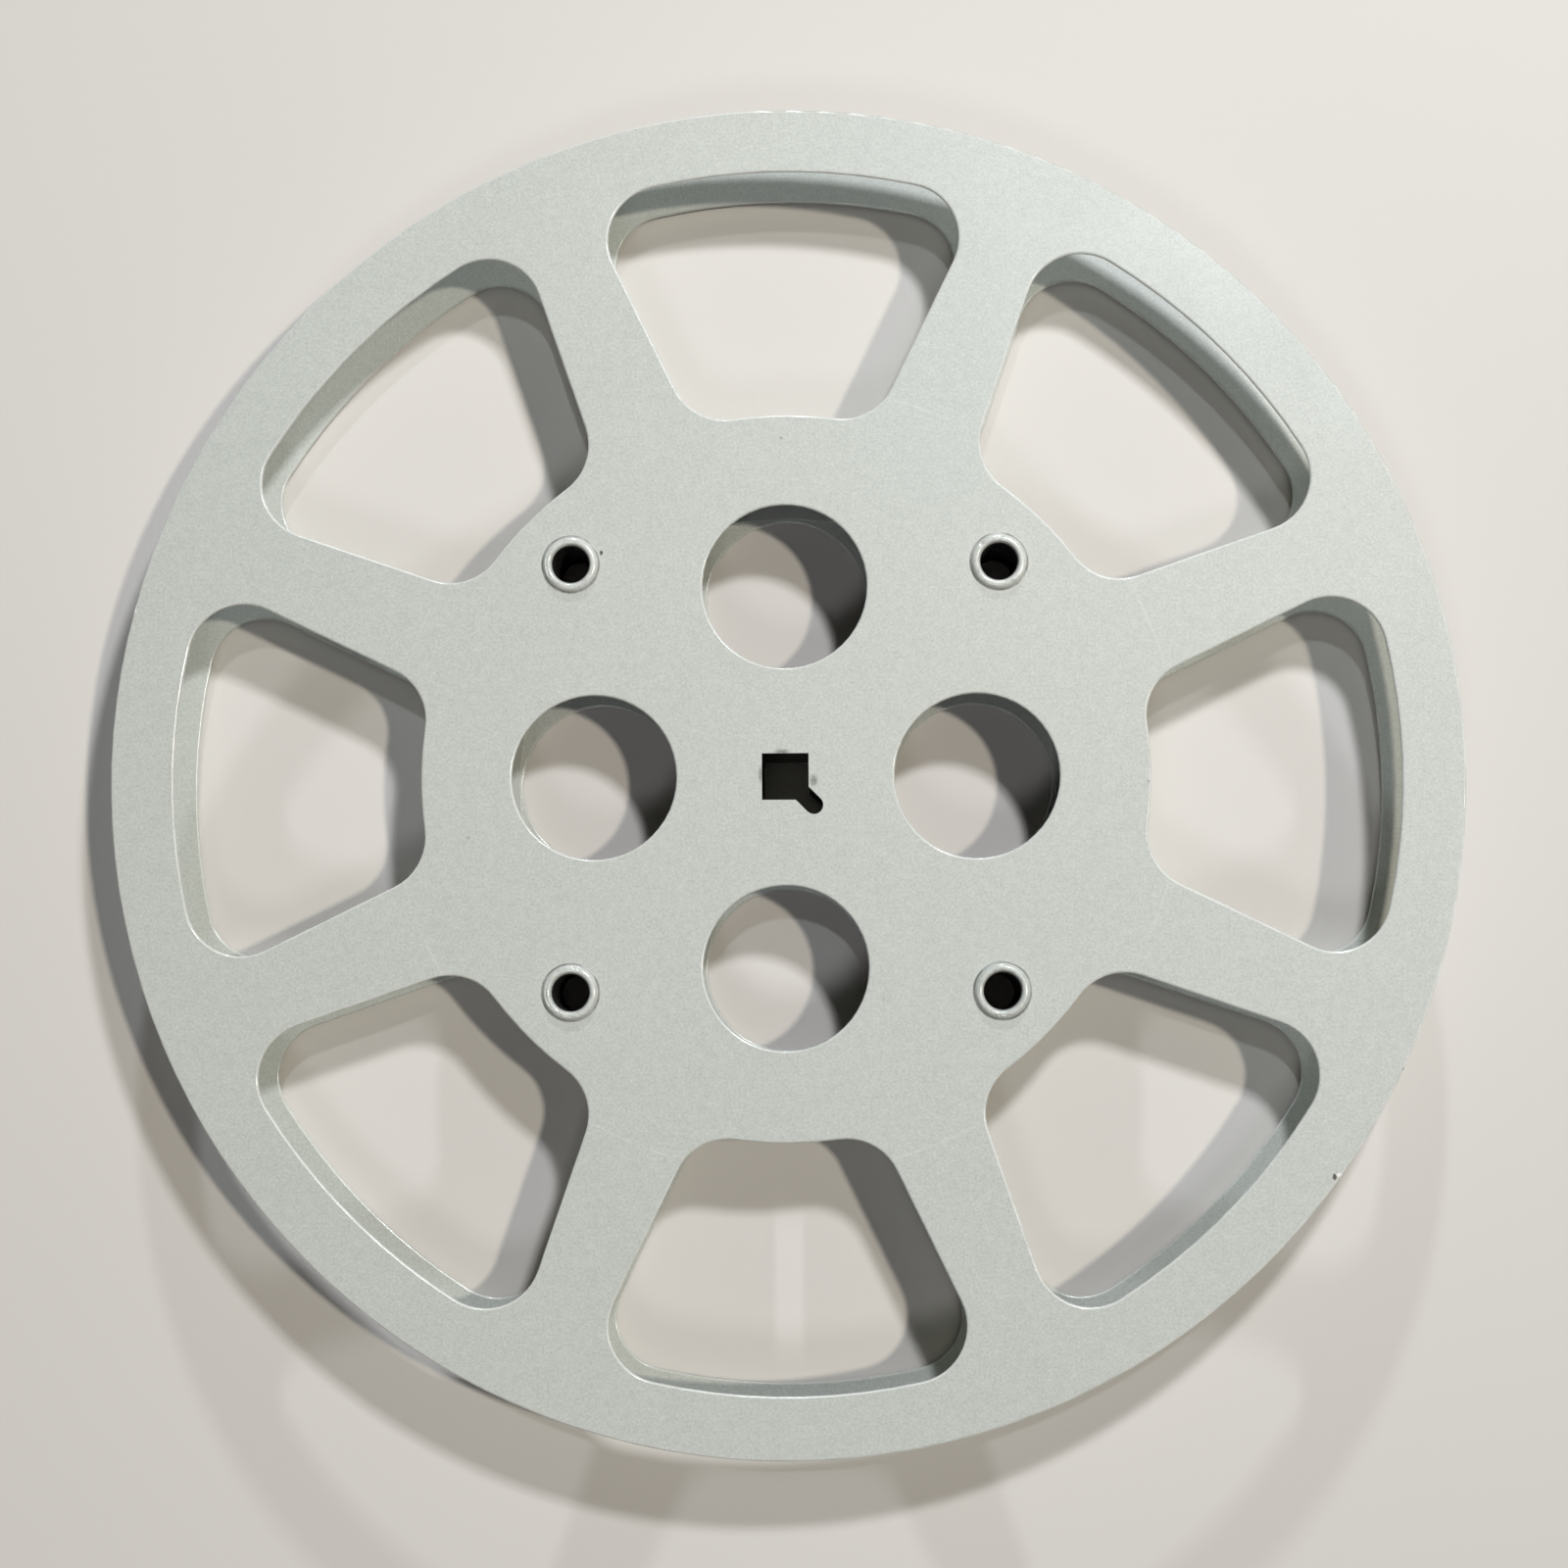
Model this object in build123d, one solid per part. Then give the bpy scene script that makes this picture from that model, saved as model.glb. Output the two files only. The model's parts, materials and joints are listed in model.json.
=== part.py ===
from build123d import *
from math import cos, radians, sin
import os

# Sheet-steel motion-picture film reel for 16 mm film, 600 ft size, lying flat.
# Millimetres. Origin: spindle axis, at the plane that the reel rests on. +Z up.

FLANGE_DIAMETER = 235.0        # 9 1/4 in, the standard 600 ft size
SHEET = 0.9                    # thickness of every stamped sheet
FILM_GAP = 16.8                # clear width between the flanges, for 16 mm film
SHEET_EDGE_ROUND = 0.4         # coined, painted edge of rim, windows and finger holes

CORE_DIAMETER = 117.2          # drum that the film winds on
CORE_RIM_INNER_RADIUS = 48.2   # inner edge of the drum's turned-in rims
CORE_BEND_RADIUS = 1.6         # outside radius of the turn between wall and rim
FILM_SLOT_WIDTH = 5.0          # round the drum
FILM_SLOT_LENGTH = 10.0        # across the drum
FILM_SLOT_CORNER_RADIUS = 0.8
FILM_SLOT_ANGLE = -90.0        # where the slot faces

WINDOW_COUNT = 8
WINDOW_INNER_RADIUS = 63.3
WINDOW_OUTER_RADIUS = 106.5
SPOKE_ROOT_WIDTH = 18.0        # at the window's inner radius
SPOKE_TIP_WIDTH = 12.8         # at the window's outer radius
WINDOW_CORNER_RADIUS = 9.6

FINGER_HOLE_COUNT = 4
FINGER_HOLE_RADIUS = 14.3      # 1 1/8 in hole
FINGER_HOLE_RING_RADIUS = 33.2

SPINDLE_SQUARE = 8.1           # standard square hole of a 16 mm reel
KEYWAY_WIDTH = 3.2
KEYWAY_END_RADIUS_FROM_AXIS = 7.0
KEYWAY_ANGLE = -45.0

RIVET_COUNT = 4
RIVET_RING_RADIUS = 52.7
RIVET_FIRST_ANGLE = 45.0
RIVET_BORE_RADIUS = 3.2        # 1/4 in tube
RIVET_BARREL_RADIUS = 3.85
RIVET_HOLE_RADIUS = 3.9        # in the sheets
RIVET_HEAD_RADIUS = 5.05
RIVET_HEAD_HEIGHT = 0.9
RIVET_CREST_RADIUS = 4.05      # top of the rolled lip

LOWER_FLANGE_Z = RIVET_HEAD_HEIGHT
CORE_Z = LOWER_FLANGE_Z + SHEET
UPPER_FLANGE_Z = CORE_Z + FILM_GAP
MIDDLE_Z = CORE_Z + FILM_GAP / 2


def polar(radius, angle):
    return Vector(radius * cos(radians(angle)), radius * sin(radians(angle)))


def ring_of(count, radius, first_angle, shape):
    """Copies of a flat shape, evenly spaced round the axis."""
    step = 360 / count
    return [Pos(*polar(radius, first_angle + i * step)) * shape for i in range(count)]


def window_outline():
    """One window between two spokes, centred on +X, with rounded corners."""
    half_pitch = 180 / WINDOW_COUNT
    along_spoke = polar(1, half_pitch)
    off_spoke = polar(1, half_pitch - 90)
    root = along_spoke * WINDOW_INNER_RADIUS + off_spoke * (SPOKE_ROOT_WIDTH / 2)
    tip = along_spoke * WINDOW_OUTER_RADIUS + off_spoke * (SPOKE_TIP_WIDTH / 2)
    overrun = (tip - root) * 0.5
    start = root - overrun
    end = tip + overrun
    corners = [(start.X, start.Y), (end.X, end.Y), (end.X, -end.Y), (start.X, -start.Y)]
    between_spokes = make_face(Polyline(*corners, close=True))
    band = Circle(WINDOW_OUTER_RADIUS) - Circle(WINDOW_INNER_RADIUS)
    window = band & between_spokes
    return fillet(window.vertices(), WINDOW_CORNER_RADIUS)


def spindle_outline():
    """Square hole with a round-ended keyway out of one corner."""
    length = KEYWAY_END_RADIUS_FROM_AXIS
    slot = Pos(length / 2, 0) * Rectangle(length, KEYWAY_WIDTH)
    slot += Pos(length, 0) * Circle(KEYWAY_WIDTH / 2)
    return Rectangle(SPINDLE_SQUARE, SPINDLE_SQUARE) + Rot(0, 0, KEYWAY_ANGLE) * slot


def flange(z):
    """One stamped flange, its lower face at z."""
    outline = Circle(FLANGE_DIAMETER / 2)
    window = window_outline()
    for i in range(WINDOW_COUNT):
        outline -= Rot(0, 0, i * 360 / WINDOW_COUNT) * window
    finger_hole = Circle(FINGER_HOLE_RADIUS)
    for hole in ring_of(FINGER_HOLE_COUNT, FINGER_HOLE_RING_RADIUS, 0, finger_hole):
        outline -= hole
    sheet = extrude(outline, SHEET)
    flat_edges = sheet.faces().sort_by(Axis.Z)[0].edges() + sheet.faces().sort_by(Axis.Z)[-1].edges()
    sheet = fillet(flat_edges, SHEET_EDGE_ROUND)
    punched = [spindle_outline()]
    punched += ring_of(RIVET_COUNT, RIVET_RING_RADIUS, RIVET_FIRST_ANGLE, Circle(RIVET_HOLE_RADIUS))
    for hole in punched:
        sheet -= extrude(hole, SHEET)
    return Pos(0, 0, z) * sheet


def core_drum():
    """Drawn ring with turned-in rims and a slot for the film's end."""
    outer_radius = CORE_DIAMETER / 2
    half_gap = FILM_GAP / 2
    outside = Pos((outer_radius + CORE_RIM_INNER_RADIUS) / 2, 0) * Rectangle(
        outer_radius - CORE_RIM_INNER_RADIUS, FILM_GAP
    )
    outside = fillet(outside.vertices().group_by(Axis.X)[-1], CORE_BEND_RADIUS)
    hollow_right = outer_radius - SHEET
    hollow_left = CORE_RIM_INNER_RADIUS - SHEET
    hollow = Pos((hollow_right + hollow_left) / 2, 0) * Rectangle(
        hollow_right - hollow_left, 2 * (half_gap - SHEET)
    )
    hollow = fillet(hollow.vertices().group_by(Axis.X)[-1], CORE_BEND_RADIUS - SHEET)
    drum = revolve(Plane.XZ * (outside - hollow), Axis.Z)
    slot = RectangleRounded(FILM_SLOT_WIDTH, FILM_SLOT_LENGTH, FILM_SLOT_CORNER_RADIUS)
    slot_cutter = Pos(hollow_left, 0, 0) * extrude(Plane.YZ * slot, outer_radius)
    drum -= Rot(0, 0, FILM_SLOT_ANGLE) * slot_cutter
    for hole in ring_of(RIVET_COUNT, RIVET_RING_RADIUS, RIVET_FIRST_ANGLE, Circle(RIVET_HOLE_RADIUS)):
        drum -= Pos(0, 0, -half_gap) * extrude(hole, FILM_GAP)
    return Pos(0, 0, MIDDLE_Z) * drum


def tubular_rivet(angle):
    """Through rivet with a rolled head on each outer face."""
    face = FILM_GAP / 2 + SHEET
    top = face + RIVET_HEAD_HEIGHT
    mouth = Line((RIVET_BORE_RADIUS, 0), (RIVET_BORE_RADIUS, face))
    flare = TangentArc((RIVET_BORE_RADIUS, face), (RIVET_CREST_RADIUS, top), tangent=(0, 1))
    roll = TangentArc((RIVET_CREST_RADIUS, top), (RIVET_HEAD_RADIUS, face), tangent=(1, 0))
    under_head = Line((RIVET_HEAD_RADIUS, face), (RIVET_BARREL_RADIUS, face))
    barrel = Line((RIVET_BARREL_RADIUS, face), (RIVET_BARREL_RADIUS, 0))
    middle = Line((RIVET_BARREL_RADIUS, 0), (RIVET_BORE_RADIUS, 0))
    half = make_face([mouth, flare, roll, under_head, barrel, middle])
    section = half + mirror(half, Plane.XZ)
    rivet = revolve(Plane.XZ * section, Axis.Z)
    place = polar(RIVET_RING_RADIUS, angle)
    return Pos(place.X, place.Y, MIDDLE_Z) * rivet


def nodes():
    parts = {
        "lower_flange": flange(LOWER_FLANGE_Z),
        "upper_flange": flange(UPPER_FLANGE_Z),
        "core_drum": core_drum(),
    }
    for i in range(RIVET_COUNT):
        angle = RIVET_FIRST_ANGLE + i * 360 / RIVET_COUNT
        parts[f"tubular_rivet_{i + 1}"] = tubular_rivet(angle)
    return parts


os.makedirs("parts", exist_ok=True)
for name, part in nodes().items():
    export_step(part, f"parts/{name}.step")
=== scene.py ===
import bpy
import bmesh
import json
import math
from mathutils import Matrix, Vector, noise

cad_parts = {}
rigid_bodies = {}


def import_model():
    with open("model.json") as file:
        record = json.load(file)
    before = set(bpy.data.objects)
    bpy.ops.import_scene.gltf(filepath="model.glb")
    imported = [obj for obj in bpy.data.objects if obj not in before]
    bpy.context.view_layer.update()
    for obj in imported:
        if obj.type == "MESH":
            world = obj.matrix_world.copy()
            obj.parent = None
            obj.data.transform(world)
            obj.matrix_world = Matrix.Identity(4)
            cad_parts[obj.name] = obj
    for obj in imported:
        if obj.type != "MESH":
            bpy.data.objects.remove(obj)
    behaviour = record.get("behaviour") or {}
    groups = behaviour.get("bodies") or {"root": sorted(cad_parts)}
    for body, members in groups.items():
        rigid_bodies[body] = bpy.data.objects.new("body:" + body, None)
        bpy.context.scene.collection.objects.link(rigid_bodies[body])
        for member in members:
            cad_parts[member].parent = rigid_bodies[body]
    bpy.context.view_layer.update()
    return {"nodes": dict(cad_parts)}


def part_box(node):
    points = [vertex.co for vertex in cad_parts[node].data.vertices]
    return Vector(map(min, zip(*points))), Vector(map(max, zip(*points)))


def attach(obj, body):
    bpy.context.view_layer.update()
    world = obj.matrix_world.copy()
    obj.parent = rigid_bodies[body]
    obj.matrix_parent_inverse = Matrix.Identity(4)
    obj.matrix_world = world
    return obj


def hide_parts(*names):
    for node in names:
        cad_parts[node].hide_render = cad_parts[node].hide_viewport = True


# Looks of a sheet-steel reel for 16 mm film: satin grey enamel on two stamped
# flanges and their core drum, and four tubular rivets with rolled lips.

for left_over in list(bpy.data.objects):
    bpy.data.objects.remove(left_over)
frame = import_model()

MM = 0.001
SHEET_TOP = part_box("upper_flange")[1].z
SHEET_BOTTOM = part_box("lower_flange")[0].z
SHEET = 0.9 * MM
DRUM_WALL = 58.1 * MM
FINGER_HOLE_RING = 33.2 * MM
SHADE_CLEAR_OF_HOLE = 16.5 * MM         # how far from a finger hole's centre the painted shade inside the drum stays away
SHADE_FADE = 4 * MM
PAINT_DEPTH = 0.010 * MM       # what a height of 1 stands for in the enamel's bumps
CREASE_HIGHLIGHT_RADIUS = 68.5 * MM       # radius of the faint lighter ring across the spoke roots, a painted highlight of a crease
BORE_MOUTH = 3.46 * MM         # from here in to the wall, shade is painted down a rivet's bore
BORE_WALL = 3.24 * MM
CURL_FOOT = 4.55 * MM, 4.80 * MM    # where painted shade darkens the foot of a rolled lip
ENAMEL_GREY = (0.560, 0.585, 0.540, 1)
ENAMEL_COOL = (0.552, 0.582, 0.545, 1)
# lighter enamel: painted highlight on sheet edges, the spoke-root ring and rivet crests, and real
# wear where the drum is rubbed
ENAMEL_WORN_AND_HIGHLIGHT = (0.820, 0.832, 0.795, 1)
BARE_STEEL = (0.060, 0.052, 0.045, 1)
HANDLING_GREY = (0.300, 0.300, 0.290, 1)
SPINDLE_GRIME = (0.070, 0.068, 0.064, 1)
# near-black colour painted inside the drum as shade
DRUM_SHADE_DARK = (0.055, 0.052, 0.048, 1)
# colour painted as shade in the crevice at a lip's foot
CREVICE_SHADE = (0.150, 0.148, 0.135, 1)
# near-black colour painted down a rivet's bore as shade
BORE_SHADE = (0.010, 0.009, 0.008, 1)
# near-white spots painted as the glint on a burr or nick
BURR_GLINT = (0.900, 0.905, 0.880, 1)
DUST_DARK = (0.180, 0.160, 0.140, 1)
FLOOR_PALE = (0.70, 0.675, 0.64, 1)
FLOOR_PALER = (0.72, 0.695, 0.66, 1)
ROOM_FILL = (0.93, 0.97, 1.0, 1)
BACKDROP_GREY = (0.40, 0.39, 0.375, 1)


# ---------------------------------------------------------------- node helpers

def add(tree, kind, values=None, **settings):
    """A node with its settings, and inputs given as plain values or as sockets to link."""
    node = tree.nodes.new(kind)
    for name, value in settings.items():
        setattr(node, name, value)
    for key, value in (values or {}).items():
        if isinstance(value, bpy.types.NodeSocket):
            tree.links.new(value, node.inputs[key])
        else:
            node.inputs[key].default_value = value
    return node


def calc(tree, operation, *terms):
    return add(tree, "ShaderNodeMath", dict(enumerate(terms)), operation=operation).outputs[0]


def vector_calc(tree, operation, *terms):
    return add(tree, "ShaderNodeVectorMath", dict(enumerate(terms)), operation=operation)


def ramp(tree, value, start, end, low=0.0, high=1.0):
    """low before start, high after end, smooth in between."""
    values = {"Value": value, "From Min": start, "From Max": end, "To Min": low, "To Max": high}
    return add(tree, "ShaderNodeMapRange", values, interpolation_type="SMOOTHSTEP").outputs[0]


def tint(tree, amount, under, over, blend="MIX"):
    """Colour over laid on colour under by amount."""
    values = {0: amount, 6: under, 7: over}
    return add(tree, "ShaderNodeMix", values, data_type="RGBA", blend_type=blend).outputs[2]


def cloud(tree, place, scale, detail=2.0, roughness=0.5):
    values = {"Vector": place, "Scale": scale, "Detail": detail, "Roughness": roughness}
    return add(tree, "ShaderNodeTexNoise", values).outputs[0]


def share_of(tree, place, centre, size):
    """How far place is from centre, where 1 is the mark's own half size."""
    apart = vector_calc(tree, "SUBTRACT", place, centre).outputs[0]
    share = vector_calc(tree, "DIVIDE", apart, size).outputs[0]
    return vector_calc(tree, "LENGTH", share).outputs["Value"]


def start_group(name, inputs, outputs):
    """A new shader group with named sockets: (group, its input sockets, its output sockets)."""
    group = bpy.data.node_groups.new(name, "ShaderNodeTree")
    for label, kind, value in inputs:
        socket = group.interface.new_socket(label, in_out="INPUT", socket_type="NodeSocket" + kind)
        if value is not None:
            socket.default_value = value
    for label, kind in outputs:
        group.interface.new_socket(label, in_out="OUTPUT", socket_type="NodeSocket" + kind)
    return group, add(group, "NodeGroupInput").outputs, add(group, "NodeGroupOutput").inputs


def use(tree, group, **values):
    """The group in a material, with its own values: its output sockets."""
    named = {key.replace("_", " "): value for key, value in values.items()}
    return add(tree, "ShaderNodeGroup", named, node_tree=group).outputs


# --------------------------------------------------------------- shared effects

def make_enamel_skin():
    """Sprayed and baked enamel: slow tone drift, fine mottle, and an orange peel height."""
    group, given, out = start_group(
        "enamel skin",
        [("Place", "Vector", None), ("Main Colour", "Color", ENAMEL_GREY),
         ("Drift Colour", "Color", ENAMEL_COOL), ("Mottle", "Float", 0.12)],
        [("Colour", "Color"), ("Height", "Float"), ("Gloss Drift", "Float")])
    place = given["Place"]
    drift = ramp(group, cloud(group, place, 9.0, 2.0), 0.35, 0.65)
    colour = tint(group, drift, given["Main Colour"], given["Drift Colour"])
    fine = cloud(group, place, 2300.0, 1.5, 0.6)
    coarse = cloud(group, place, 650.0, 1.0)
    mottle = [calc(group, "MULTIPLY", fine, 0.8), calc(group, "MULTIPLY", coarse, 0.2)]
    both = calc(group, "ADD", *mottle)
    swing = calc(group, "MULTIPLY", calc(group, "SUBTRACT", both, 0.5), given["Mottle"])
    level = calc(group, "ADD", 1.0, calc(group, "MULTIPLY", swing, 2.0))
    grey = add(group, "ShaderNodeCombineColor", {0: level, 1: level, 2: level}).outputs[0]
    group.links.new(tint(group, 1.0, colour, grey, "MULTIPLY"), out["Colour"])
    peel = cloud(group, place, 620.0, 1.5, 0.45)
    ripple = cloud(group, place, 170.0, 1.0)
    heights = [calc(group, "MULTIPLY", peel, 0.6), calc(group, "MULTIPLY", ripple, 0.9)]
    group.links.new(calc(group, "ADD", *heights), out["Height"])
    gloss = calc(group, "SUBTRACT", cloud(group, place, 45.0, 4.0, 0.6), 0.5)
    group.links.new(gloss, out["Gloss Drift"])
    return group


def make_sheet_edge():
    """Where the surface turns over the edge of a sheet: a patchy mask for the painted highlight and
    extra gloss there on the flanges, and for the drum's rub lines.
    """
    group, given, out = start_group(
        "turned sheet edge",
        [("Place", "Vector", None), ("Patchy", "Float", 0.6)],
        [("Mask", "Float")])
    facing = add(group, "ShaderNodeNewGeometry").outputs["Normal"]
    upright = add(group, "ShaderNodeSeparateXYZ", {0: facing}).outputs["Z"]
    turned = ramp(group, calc(group, "ABSOLUTE", upright), 0.999, 0.94)
    patches = ramp(group, cloud(group, given["Place"], 160.0, 4.0, 0.6), 0.40, 0.62)
    share = calc(group, "SUBTRACT", 1.0, calc(group, "MULTIPLY", given["Patchy"], patches))
    group.links.new(calc(group, "MULTIPLY", turned, share), out["Mask"])
    return group


def make_paint_chip():
    """A ragged oval patch about a centre, where the enamel is chipped or rubbed through."""
    group, given, out = start_group(
        "paint chip",
        [("Place", "Vector", None), ("Centre", "Vector", None),
         ("Size", "Vector", (0.001, 0.001, 0.001)), ("Ragged", "Float", 0.5)],
        [("Mask", "Float")])
    share = share_of(group, given["Place"], given["Centre"], given["Size"])
    rough = calc(group, "SUBTRACT", cloud(group, given["Place"], 2600.0, 3.0, 0.6), 0.5)
    push = calc(group, "MULTIPLY", calc(group, "MULTIPLY", rough, given["Ragged"]), 2.0)
    ragged_share = calc(group, "ADD", share, push)
    group.links.new(ramp(group, ragged_share, 1.0, 0.72), out["Mask"])
    return group


def make_scuff_smear():
    """A fine-grained dark smear inside a soft oval, as a spindle rubs on round its hole."""
    group, given, out = start_group(
        "scuff smear",
        [("Place", "Vector", None), ("Centre", "Vector", None),
         ("Size", "Vector", (0.002, 0.001, 0.002))],
        [("Mask", "Float")])
    share = share_of(group, given["Place"], given["Centre"], given["Size"])
    oval = ramp(group, share, 1.0, 0.2)
    grit = ramp(group, cloud(group, given["Place"], 5200.0, 3.0, 0.7), 0.35, 0.65, 0.35, 1.0)
    group.links.new(calc(group, "MULTIPLY", grit, oval), out["Mask"])
    return group


def make_dust_specks():
    """Sparse tiny specks baked into the enamel or lying on it."""
    group, given, out = start_group(
        "dust specks",
        [("Place", "Vector", None), ("Spacing", "Float", 0.006), ("Amount", "Float", 0.3)],
        [("Mask", "Float")])
    scale = calc(group, "DIVIDE", 1.0, given["Spacing"])
    spread = {"Vector": given["Place"], "Scale": scale}
    cells = add(group, "ShaderNodeTexVoronoi", spread, feature="F1")
    chosen = add(group, "ShaderNodeSeparateColor", {0: cells.outputs["Color"]}).outputs
    kept = ramp(group, chosen[0], calc(group, "SUBTRACT", 1.0, given["Amount"]), 1.0)
    size = calc(group, "MULTIPLY", chosen[1], 0.035)
    near = calc(group, "LESS_THAN", cells.outputs["Distance"], calc(group, "ADD", size, 0.008))
    group.links.new(calc(group, "MULTIPLY", near, kept), out["Mask"])
    return group


def make_handling_rub():
    """Soft smears from fingers and shelves: cloudy, drawn out along x."""
    group, given, out = start_group(
        "handling rub",
        [("Place", "Vector", None), ("Coverage", "Float", 0.4)],
        [("Mask", "Float")])
    stretched = vector_calc(group, "MULTIPLY", given["Place"], (1.0, 1.6, 1.0)).outputs[0]
    broad = cloud(group, stretched, 26.0, 5.0, 0.62)
    edge = calc(group, "SUBTRACT", 1.0, given["Coverage"])
    rubbed = ramp(group, broad, edge, calc(group, "ADD", edge, 0.16))
    group.links.new(rubbed, out["Mask"])
    return group


def make_ring_line():
    """A faint broken line round the axis, at a radius: a painted highlight where a crease catches
    the light.
    """
    group, given, out = start_group(
        "ring line",
        [("Place", "Vector", None), ("Radius", "Float", 0.06), ("Width", "Float", 0.0004)],
        [("Mask", "Float")])
    flat = vector_calc(group, "MULTIPLY", given["Place"], (1.0, 1.0, 0.0)).outputs[0]
    away = vector_calc(group, "LENGTH", flat).outputs["Value"]
    off = calc(group, "ABSOLUTE", calc(group, "SUBTRACT", away, given["Radius"]))
    line = ramp(group, calc(group, "DIVIDE", off, given["Width"]), 1.0, 0.2)
    broken = ramp(group, cloud(group, given["Place"], 90.0, 3.0), 0.38, 0.60)
    group.links.new(calc(group, "MULTIPLY", line, broken), out["Mask"])
    return group


def make_painted_shade_in_drum():
    """Inside the drum, away from the finger holes: where a near-black colour is painted on as
    shade.
    """
    group, given, out = start_group(
        "painted shade in drum",
        [("Place", "Vector", None)],
        [("Mask", "Float")])
    split = add(group, "ShaderNodeSeparateXYZ", {0: given["Place"]}).outputs
    flat = vector_calc(group, "MULTIPLY", given["Place"], (1.0, 1.0, 0.0)).outputs[0]
    away = vector_calc(group, "LENGTH", flat).outputs["Value"]
    across, along = (calc(group, "ABSOLUTE", split[k]) for k in (0, 1))
    beyond = calc(group, "SUBTRACT", calc(group, "MAXIMUM", across, along), FINGER_HOLE_RING)
    aside = calc(group, "MINIMUM", across, along)
    squares = [calc(group, "MULTIPLY", beyond, beyond), calc(group, "POWER", aside, 2.0)]
    to_hole = calc(group, "SQRT", calc(group, "ADD", *squares))
    shade_wobble = calc(group, "SUBTRACT", cloud(group, given["Place"], 300.0, 4.0), 0.5)
    shade_edge_wobble = calc(group, "MULTIPLY", shade_wobble, 6 * MM)
    away_from_holes = ramp(group, calc(group, "ADD", to_hole, shade_edge_wobble), SHADE_CLEAR_OF_HOLE, SHADE_CLEAR_OF_HOLE + SHADE_FADE)
    in_drum = ramp(group, away, DRUM_WALL + 0.2 * MM, DRUM_WALL)
    above_lower = ramp(group, split[2], SHEET_BOTTOM + 0.5 * SHEET, SHEET_BOTTOM + 0.9 * SHEET)
    below_upper = ramp(group, split[2], SHEET_TOP - 0.5 * SHEET, SHEET_TOP - 0.9 * SHEET)
    between = calc(group, "MULTIPLY", above_lower, below_upper)
    shaded_in_drum = calc(group, "MULTIPLY", away_from_holes, in_drum)
    group.links.new(calc(group, "MULTIPLY", shaded_in_drum, between), out["Mask"])
    return group


ENAMEL_SKIN = make_enamel_skin()
SHEET_EDGE = make_sheet_edge()
PAINT_CHIP = make_paint_chip()
SCUFF_SMEAR = make_scuff_smear()
DUST_SPECKS = make_dust_specks()
HANDLING_RUB = make_handling_rub()
RING_LINE = make_ring_line()
PAINTED_SHADE_IN_DRUM = make_painted_shade_in_drum()


# -------------------------------------------------------------------- materials

def start_enamel(name):
    """An empty enamel material: (material, tree, shader, object coordinates)."""
    material = bpy.data.materials.new(name)
    material.use_nodes = True
    tree = material.node_tree
    shader = tree.nodes["Principled BSDF"]
    shader.inputs["IOR"].default_value = 1.5
    shader.inputs["Coat Weight"].default_value = 0.20
    shader.inputs["Coat Roughness"].default_value = 0.16
    place = add(tree, "ShaderNodeTexCoord").outputs["Object"]
    return material, tree, shader, place


def wire_up(tree, shader, colour, roughness, height):
    tree.links.new(colour, shader.inputs["Base Color"])
    tree.links.new(roughness, shader.inputs["Roughness"])
    bump = add(tree, "ShaderNodeBump", {"Height": height, "Strength": 1.0, "Distance": PAINT_DEPTH})
    tree.links.new(bump.outputs[0], shader.inputs["Normal"])


def gloss_over(tree, shader, base, mask, more):
    """A thin clear gloss: base everywhere, with more of it where the mask is."""
    amount = calc(tree, "ADD", base, calc(tree, "MULTIPLY", mask, more))
    tree.links.new(amount, shader.inputs["Coat Weight"])


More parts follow.
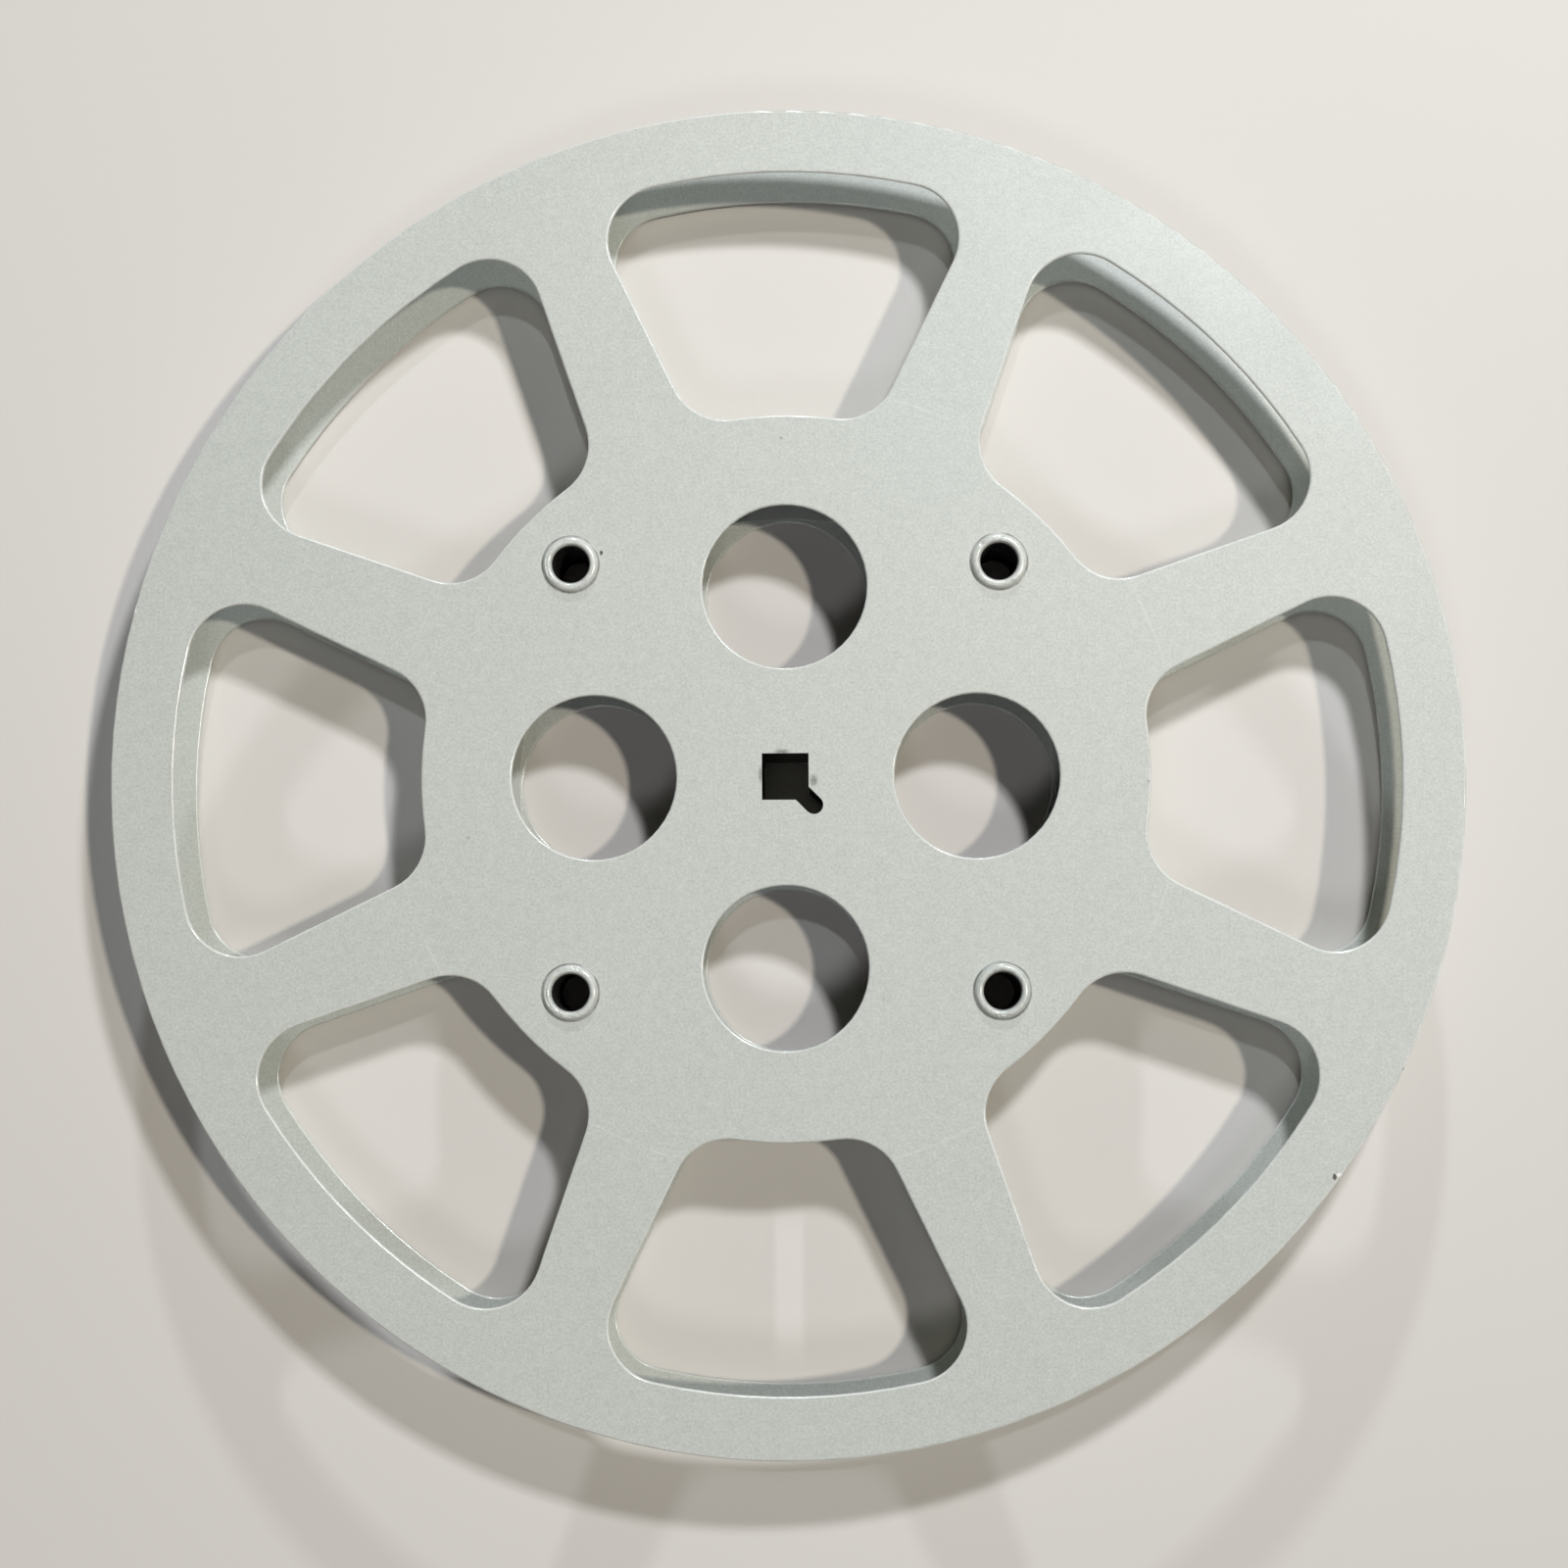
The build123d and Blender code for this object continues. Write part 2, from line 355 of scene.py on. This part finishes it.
def flange_enamel(name, chips, smears, burr_glints, edge_highlight):
    """Enamel on a flange, with painted highlights on its sheet edges, ring and burrs, and painted
    shade inside the drum. Each chip, smear and burr glint is (x, y, z, half width, half height),
    mm.
    """
    material, tree, shader, place = start_enamel(name)
    skin = use(tree, ENAMEL_SKIN, Place=place, Mottle=0.30)
    colour = skin["Colour"]
    edge = use(tree, SHEET_EDGE, Place=place, Patchy=0.6)["Mask"]
    # painted highlight: lighter enamel along the sheet edges
    colour = tint(tree, calc(tree, "MULTIPLY", edge, edge_highlight), colour, ENAMEL_WORN_AND_HIGHLIGHT)
    rub = use(tree, HANDLING_RUB, Place=place, Coverage=0.42)["Mask"]
    colour = tint(tree, calc(tree, "MULTIPLY", rub, 0.012), colour, HANDLING_GREY)
    # painted highlight: a lighter ring where the spoke roots crease
    line = use(tree, RING_LINE, Place=place, Radius=CREASE_HIGHLIGHT_RADIUS, Width=0.3 * MM)["Mask"]
    colour = tint(tree, calc(tree, "MULTIPLY", line, 0.25), colour, ENAMEL_WORN_AND_HIGHLIGHT)
    specks = use(tree, DUST_SPECKS, Place=place, Spacing=0.009, Amount=0.25)["Mask"]
    colour = tint(tree, calc(tree, "MULTIPLY", specks, 0.55), colour, DUST_DARK)
    height = skin["Height"]
    for x, y, z, wide, tall in smears:
        mask = use(tree, SCUFF_SMEAR, Place=place, Centre=(x * MM, y * MM, z * MM),
                   Size=(wide * MM, tall * MM, 3 * MM))["Mask"]
        colour = tint(tree, calc(tree, "MULTIPLY", mask, 0.85), colour, SPINDLE_GRIME)
    # burr glints are painted highlights; chips are bare steel
    raised, sunk = (burr_glints, BURR_GLINT, 0.9, 3.0), (chips, BARE_STEEL, 0.96, -7.0)
    for marks, over, strength, rise in (raised, sunk):
        for x, y, z, wide, tall in marks:
            mask = use(tree, PAINT_CHIP, Place=place, Centre=(x * MM, y * MM, z * MM),
                       Size=(wide * MM, tall * MM, 1 * MM), Ragged=0.6)["Mask"]
            colour = tint(tree, calc(tree, "MULTIPLY", mask, strength), colour, over)
            height = calc(tree, "ADD", height, calc(tree, "MULTIPLY", mask, rise))
    # painted shade: near-black colour inside the drum, away from the finger holes
    drum_shade = use(tree, PAINTED_SHADE_IN_DRUM, Place=place)["Mask"]
    colour = tint(tree, drum_shade, colour, DRUM_SHADE_DARK)
    roughness = calc(tree, "ADD", 0.47, calc(tree, "MULTIPLY", skin["Gloss Drift"], 0.22))
    roughness = calc(tree, "SUBTRACT", roughness, calc(tree, "MULTIPLY", rub, 0.05))
    roughness = calc(tree, "SUBTRACT", roughness, calc(tree, "MULTIPLY", edge, 0.22))
    wire_up(tree, shader, colour, roughness, height)
    gloss_over(tree, shader, 0.20, edge, 0.80)
    return material


def core_enamel():
    """Enamel on the drum, with lines rubbed round its wall by the film's edges."""
    material, tree, shader, place = start_enamel("core_enamel_detailed")
    skin = use(tree, ENAMEL_SKIN, Place=place, Main_Colour=(0.53, 0.55, 0.51, 1), Mottle=0.06)
    edge = use(tree, SHEET_EDGE, Place=place, Patchy=0.9)["Mask"]
    tall = vector_calc(tree, "MULTIPLY", place, (0.04, 0.04, 1.0)).outputs[0]
    lines = ramp(tree, cloud(tree, tall, 1500.0, 3.0, 0.7), 0.50, 0.70)
    lines = calc(tree, "MULTIPLY", lines, edge)
    colour = tint(tree, calc(tree, "MULTIPLY", lines, 0.25), skin["Colour"], HANDLING_GREY)
    rub = use(tree, HANDLING_RUB, Place=place, Coverage=0.5)["Mask"]
    colour = tint(tree, calc(tree, "MULTIPLY", rub, 0.08), colour, ENAMEL_WORN_AND_HIGHLIGHT)
    specks = use(tree, DUST_SPECKS, Place=place, Spacing=0.006, Amount=0.3)["Mask"]
    colour = tint(tree, calc(tree, "MULTIPLY", specks, 0.5), colour, DUST_DARK)
    # painted shade: near-black colour inside the drum, away from the finger holes
    drum_shade = use(tree, PAINTED_SHADE_IN_DRUM, Place=place)["Mask"]
    colour = tint(tree, drum_shade, colour, DRUM_SHADE_DARK)
    roughness = calc(tree, "ADD", 0.46, calc(tree, "MULTIPLY", skin["Gloss Drift"], 0.2))
    roughness = calc(tree, "SUBTRACT", roughness, calc(tree, "MULTIPLY", lines, 0.1))
    height = calc(tree, "SUBTRACT", skin["Height"], calc(tree, "MULTIPLY", lines, 0.5))
    wire_up(tree, shader, colour, roughness, height)
    return material


def rivet_enamel(name, x, y):
    """Enamel over a rolled lip: painted shade in the crevice at its foot and down the bore, and
    lighter patches on the crest, partly wear and partly painted highlight.
    """
    material, tree, shader, place = start_enamel(name)
    # the lips' enamel is a lighter copy of the flange enamel: painted highlight
    skin = use(tree, ENAMEL_SKIN, Place=place, Main_Colour=(0.660, 0.680, 0.635, 1), Mottle=0.24)
    from_axis = vector_calc(tree, "SUBTRACT", place, (x, y, 0.0)).outputs[0]
    flat = vector_calc(tree, "MULTIPLY", from_axis, (1.0, 1.0, 0.0)).outputs[0]
    radius = vector_calc(tree, "LENGTH", flat).outputs["Value"]
    height_z = add(tree, "ShaderNodeSeparateXYZ", {0: place}).outputs["Z"]
    middle = (SHEET_TOP + SHEET_BOTTOM) / 2
    from_middle = calc(tree, "ABSOLUTE", calc(tree, "SUBTRACT", height_z, middle))
    half = (SHEET_TOP - SHEET_BOTTOM) / 2
    grain = calc(tree, "SUBTRACT", cloud(tree, place, 1500.0, 4.0, 0.65), 0.5)
    ragged_radius = calc(tree, "ADD", radius, calc(tree, "MULTIPLY", grain, 0.35 * MM))
    # painted shade down the bore
    in_bore = ramp(tree, ragged_radius, BORE_MOUTH, BORE_WALL)
    deep = ramp(tree, from_middle, half + 0.50 * MM, half - 0.20 * MM)
    bore_shade = calc(tree, "MULTIPLY", in_bore, deep)
    colour = tint(tree, bore_shade, skin["Colour"], BORE_SHADE)
    # lighter patches on the crest: partly wear, partly painted highlight
    crest = ramp(tree, from_middle, half + 0.70 * MM, half + 0.88 * MM)
    rubbed = ramp(tree, cloud(tree, place, 700.0, 4.0, 0.7), 0.42, 0.66)
    crest_wear_and_highlight = calc(tree, "MULTIPLY", crest, rubbed)
    colour = tint(tree, calc(tree, "MULTIPLY", crest_wear_and_highlight, 0.35), colour, ENAMEL_WORN_AND_HIGHLIGHT)
    # painted shade in the crevice at the foot of the lip
    low_down = ramp(tree, from_middle, half + 0.40 * MM, half + 0.08 * MM)
    crevice_shade = calc(tree, "MULTIPLY", low_down, ramp(tree, radius, *CURL_FOOT))
    patchy = ramp(tree, cloud(tree, place, 260.0, 3.0), 0.35, 0.62, 0.35, 0.85)
    colour = tint(tree, calc(tree, "MULTIPLY", crevice_shade, patchy), colour, CREVICE_SHADE)
    pits = ramp(tree, cloud(tree, place, 1500.0, 4.0, 0.72), 0.55, 0.68)
    colour = tint(tree, calc(tree, "MULTIPLY", pits, 0.55), colour, HANDLING_GREY)
    roughness = calc(tree, "ADD", 0.30, calc(tree, "MULTIPLY", skin["Gloss Drift"], 0.3))
    roughness = calc(tree, "ADD", roughness, calc(tree, "MULTIPLY", bore_shade, 0.35))
    height = calc(tree, "ADD", skin["Height"], calc(tree, "MULTIPLY", grain, 2.0))
    height = calc(tree, "SUBTRACT", height, calc(tree, "MULTIPLY", pits, 0.8))
    wire_up(tree, shader, colour, roughness, height)
    gloss_over(tree, shader, 0.90, calc(tree, "MAXIMUM", bore_shade, crevice_shade), -0.90)
    return material


def floor_paint():
    material = bpy.data.materials.new("pale_floor")
    material.use_nodes = True
    tree = material.node_tree
    shader = tree.nodes["Principled BSDF"]
    place = add(tree, "ShaderNodeTexCoord").outputs["Object"]
    tone = ramp(tree, cloud(tree, place, 3.0, 3.0), 0.3, 0.7)
    colour = tint(tree, tone, FLOOR_PALE, FLOOR_PALER)
    tree.links.new(colour, shader.inputs["Base Color"])
    shader.inputs["Roughness"].default_value = 0.85
    shader.inputs["Specular IOR Level"].default_value = 0.2
    return material


def dress(obj, material):
    for holder in obj.material_slots:
        holder.material = material


# ----------------------------------------------------------------------- rivets

# (radius, height above the sheet) in mm, from the bore over the crest to the curl's foot
LIP_SECTION = [
    (3.20, -1.70), (3.20, -1.00), (3.21, -0.40), (3.24, 0.05), (3.32, 0.35), (3.44, 0.60),
    (3.58, 0.77), (3.75, 0.86), (3.94, 0.885), (4.14, 0.865), (4.33, 0.80), (4.50, 0.69),
    (4.64, 0.53), (4.75, 0.35), (4.84, 0.18), (4.94, 0.08), (5.05, 0.035), (5.12, 0.010),
    (4.80, 0.010), (4.35, 0.05), (3.95, 0.05), (3.85, -0.10)]
CREST_HEIGHT = 0.89    # no point of a lip stands higher than this above the sheet, in mm
SECTION_STEPS = 3      # points made from each stretch of the section
ROUND_STEPS = 168
UNDERSIDE_SEED = 31    # sets a rivet's lower lip apart from its upper one
RIVET_SEED_STEP = 7.3


def smooth_section(points, steps):
    """Points along a smooth curve through the section's points."""
    made = []
    last = len(points) - 1
    for i in range(last):
        p0, p1, p2, p3 = (points[min(max(i + k, 0), last)] for k in (-1, 0, 1, 2))
        for s in range(steps):
            t = s / steps
            made.append(tuple(
                0.5 * (2 * b + (c - a) * t + (2 * a - 5 * b + 4 * c - d) * t * t
                       + (3 * b - a - 3 * c + d) * t ** 3)
                for a, b, c, d in zip(p0, p1, p2, p3)))
    return made + [points[-1]]


def bump_at(value, middle, half_width):
    """1 in the middle, falling smoothly to 0 at half_width away."""
    share = min(abs(value - middle) / half_width, 1.0)
    return (1 - share * share) ** 2


def lip_flaw(radius, height, angle, flaws, seed):
    """How far a point of a rolled lip is moved: (radius change, height change) in mm."""
    out, up = 0.0, 0.0
    on_lip = bump_at(height, 0.9, 1.5)
    turn = Vector((math.cos(angle), math.sin(angle), 0))
    out += 0.055 * noise.noise(turn * 1.3 + Vector((seed, 0, 0))) * on_lip
    out += 0.020 * noise.noise(turn * 5.0 + Vector((0, seed, 0))) * on_lip
    up -= 0.050 * (0.5 + 0.5 * noise.noise(turn * 1.7 + Vector((0, 0, seed)))) * on_lip
    degrees = math.degrees(angle) % 360
    for kind, middle, spread, at, width, depth in flaws:
        around = (degrees - middle + 180) % 360 - 180
        if abs(around) >= spread:
            continue
        fade = bump_at(around, 0, spread)
        wander = at + 0.10 * noise.noise(Vector((degrees * 0.11, seed, 3.0)))
        if kind == "fold" and height > 0.1:
            up -= depth * fade * bump_at(radius, wander, width)
            up += 0.3 * depth * fade * bump_at(radius, wander + 1.6 * width, width)
        elif kind == "notch" and height > 0.0:
            up -= depth * fade * bump_at(radius, at, width)
        elif kind == "rough" and height > 0.1:
            grit = noise.noise(Vector((radius * 3.1, degrees * 0.21, seed * 2.0)))
            up += depth * fade * grit * bump_at(radius, at, width)
    return out, min(up, 0.0) if height > 0.86 else up


def rolled_rivet(name, node, flaws, seed, material):
    """A tubular rivet: thin barrel, and at both ends a lip rolled over onto the sheet."""
    low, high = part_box(node)
    x, y = (low.x + high.x) / 2, (low.y + high.y) / 2
    lip = smooth_section(LIP_SECTION, SECTION_STEPS)
    top = [(r, SHEET_TOP / MM, h, 1) for r, h in lip]
    bottom = [(r, SHEET_BOTTOM / MM, h, -1) for r, h in reversed(lip)]
    loop = top + bottom
    rivet = bmesh.new()
    rings = []
    for step in range(ROUND_STEPS):
        angle = 2 * math.pi * step / ROUND_STEPS
        ring = []
        for r, level, h, way in loop:
            if way > 0:
                out, up = lip_flaw(r, h, angle, flaws, seed)
            else:
                out, up = lip_flaw(r, h, angle, (), seed + UNDERSIDE_SEED)
            radius = (r + out) * MM
            z = (level + way * min(h + up, CREST_HEIGHT)) * MM
            spot = (x + radius * math.cos(angle), y + radius * math.sin(angle), z)
            ring.append(rivet.verts.new(spot))
        rings.append(ring)
    count = len(loop)
    for step in range(ROUND_STEPS):
        here, after = rings[step], rings[(step + 1) % ROUND_STEPS]
        for k in range(count):
            m = (k + 1) % count
            rivet.faces.new((here[k], after[k], after[m], here[m]))
    bmesh.ops.recalc_face_normals(rivet, faces=rivet.faces)
    mesh = bpy.data.meshes.new(name)
    rivet.to_mesh(mesh)
    rivet.free()
    mesh.polygons.foreach_set("use_smooth", [True] * len(mesh.polygons))
    mesh.materials.append(material)
    piece = bpy.data.objects.new(name, mesh)
    bpy.context.scene.collection.objects.link(piece)
    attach(piece, "root")
    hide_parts(node)


# flaws: (kind, angle and half spread in degrees, then radius, half width and depth in mm)
RIVET_FLAWS = {
    "tubular_rivet_1": [("notch", 135, 9, 4.25, 0.5, 0.22), ("rough", 250, 60, 4.3, 0.5, 0.10)],
    "tubular_rivet_2": [("fold", 180, 40, 4.22, 0.15, 0.30), ("rough", 190, 55, 4.4, 0.4, 0.12)],
    "tubular_rivet_3": [("fold", 182, 44, 4.20, 0.16, 0.34), ("notch", 75, 10, 4.4, 0.5, 0.26),
                        ("rough", 260, 75, 4.3, 0.5, 0.18)],
    "tubular_rivet_4": [("rough", 262, 80, 4.25, 0.5, 0.18)],
}
for number, (node, flaws) in enumerate(RIVET_FLAWS.items(), 1):
    low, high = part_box(node)
    finish = rivet_enamel(f"rivet_enamel_{number}", (low.x + high.x) / 2, (low.y + high.y) / 2)
    rolled_rivet(f"rolled_rivet_{number}", node, flaws, RIVET_SEED_STEP * number, finish)


# ---------------------------------------------------------------- sheet finishes

TOP_MM = SHEET_TOP / MM
dress(frame["nodes"]["upper_flange"], flange_enamel(
    "upper_flange_enamel",
    chips=[(93.7, -69.3, TOP_MM, 0.32, 0.60), (-31.9, 39.3, TOP_MM, 0.28, 0.50),
           (70.2, 39.0, TOP_MM - 0.2, 0.22, 0.40), (105.9, -51.0, TOP_MM - 0.3, 0.30, 0.30)],
    burr_glints=[(94.6, -69.0, TOP_MM, 0.55, 0.45), (70.7, 39.3, TOP_MM - 0.1, 0.35, 0.45),
           (-113.6, 30.5, TOP_MM - 0.3, 0.45, 1.60)],
    smears=[(-0.6, 4.3, TOP_MM, 2.0, 0.7), (4.9, -0.7, TOP_MM, 1.0, 1.5),
            (-4.3, 0.3, TOP_MM, 0.5, 2.0)],
    edge_highlight=0.65))
dress(frame["nodes"]["lower_flange"], flange_enamel(
    "lower_flange_enamel",
    chips=[(-88.0, 71.5, 0.9, 0.30, 0.45), (21.0, -109.0, 0.9, 0.50, 0.30)],
    burr_glints=[(104.0, 54.2, 0.9, 0.5, 0.7)],
    smears=[(2.2, 4.9, 0.9, 2.2, 0.9), (-5.0, 0.6, 0.9, 1.0, 1.8)],
    edge_highlight=0.25))
dress(frame["nodes"]["core_drum"], core_enamel())


# --------------------------------------------------------- floor, light, camera

FLOOR_REACH = 6.0
corners = [(x * FLOOR_REACH, y * FLOOR_REACH, 0) for x, y in ((-1, -1), (1, -1), (1, 1), (-1, 1))]
floor_mesh = bpy.data.meshes.new("floor")
floor_mesh.from_pydata(corners, [], [(0, 1, 2, 3)])
floor = bpy.data.objects.new("floor", floor_mesh)
floor.data.materials.append(floor_paint())
bpy.context.scene.collection.objects.link(floor)


REEL_HEART = Vector((0, 0, 0.01))


def hang(lamp, name, place, aim):
    """The lamp at a place, turned to face aim."""
    holder = bpy.data.objects.new(name, lamp)
    holder.location = place
    holder.rotation_euler = (aim - Vector(place)).to_track_quat("-Z", "Y").to_euler()
    bpy.context.scene.collection.objects.link(holder)


def soft_light(name, place, side, watts, colour):
    """A square soft lamp, facing the middle of the reel."""
    lamp = bpy.data.lights.new(name, "AREA")
    lamp.shape, lamp.size, lamp.size_y = "RECTANGLE", side, side
    lamp.energy, lamp.color = watts, colour
    hang(lamp, name, place, REEL_HEART)


def broad_light(name, place, spread, strength, colour):
    """Even light over the whole floor, from one side: spread is its softness in degrees."""
    lamp = bpy.data.lights.new(name, "SUN")
    lamp.angle, lamp.energy, lamp.color = math.radians(spread), strength, colour
    hang(lamp, name, place, Vector((0, 0, 0)))


def lamp_place(azimuth, off_vertical, distance):
    """Where a lamp hangs: both angles in degrees, the distance in metres."""
    turn, lean = math.radians(azimuth), math.radians(off_vertical)
    flat = distance * math.sin(lean)
    return flat * math.cos(turn), flat * math.sin(turn), distance * math.cos(lean)


# The window's light is so low that it can't come through a finger hole to the floor under the
# spindle hole.
broad_light("warm_room_light_right", lamp_place(1, 27, 1.6), 3.0, 1.16, (1.0, 0.93, 0.80))
broad_light("low_far_window", lamp_place(90, 71.5, 1.5), 2.5, 1.05, (0.88, 0.94, 1.0))
soft_light("window_upper_right", lamp_place(60, 33, 0.72), 0.06, 3.0, (0.94, 0.96, 1.0))
soft_light("ceiling_near_side", lamp_place(258, 29, 1.5), 0.30, 2.3, (0.94, 0.95, 1.0))

world = bpy.data.worlds.new("soft_room")
bpy.context.scene.world = world
world.use_nodes = True
room = world.node_tree
room_fill = room.nodes["Background"]
room_fill.inputs["Color"].default_value = ROOM_FILL
room_fill.inputs["Strength"].default_value = 0.02
backdrop = add(room, "ShaderNodeBackground", {"Color": BACKDROP_GREY, "Strength": 1.0})
seen = add(room, "ShaderNodeLightPath").outputs["Is Camera Ray"]
sides = {0: seen, 1: room_fill.outputs[0], 2: backdrop.outputs[0]}
surround = add(room, "ShaderNodeMixShader", sides)
room.links.new(surround.outputs[0], room.nodes["World Output"].inputs["Surface"])

CAMERA_PLACE = (0.00894, -0.04053, 0.48187)
CAMERA_TURN = 3.166, 1.156, -0.236    # degrees about x, y and z; it looks down at 0, 0, 0

lens = bpy.data.cameras.new("camera")
lens.lens, lens.sensor_width = 61.5, 36.0
lens.shift_y = 0.05
lens.clip_start, lens.clip_end = 0.01, 20.0
camera = bpy.data.objects.new("camera", lens)
camera.location = CAMERA_PLACE
camera.rotation_euler = [math.radians(turn) for turn in CAMERA_TURN]
bpy.context.scene.collection.objects.link(camera)
bpy.context.scene.camera = camera

bpy.context.scene.view_settings.view_transform = "Standard"

bpy.context.view_layer.update()
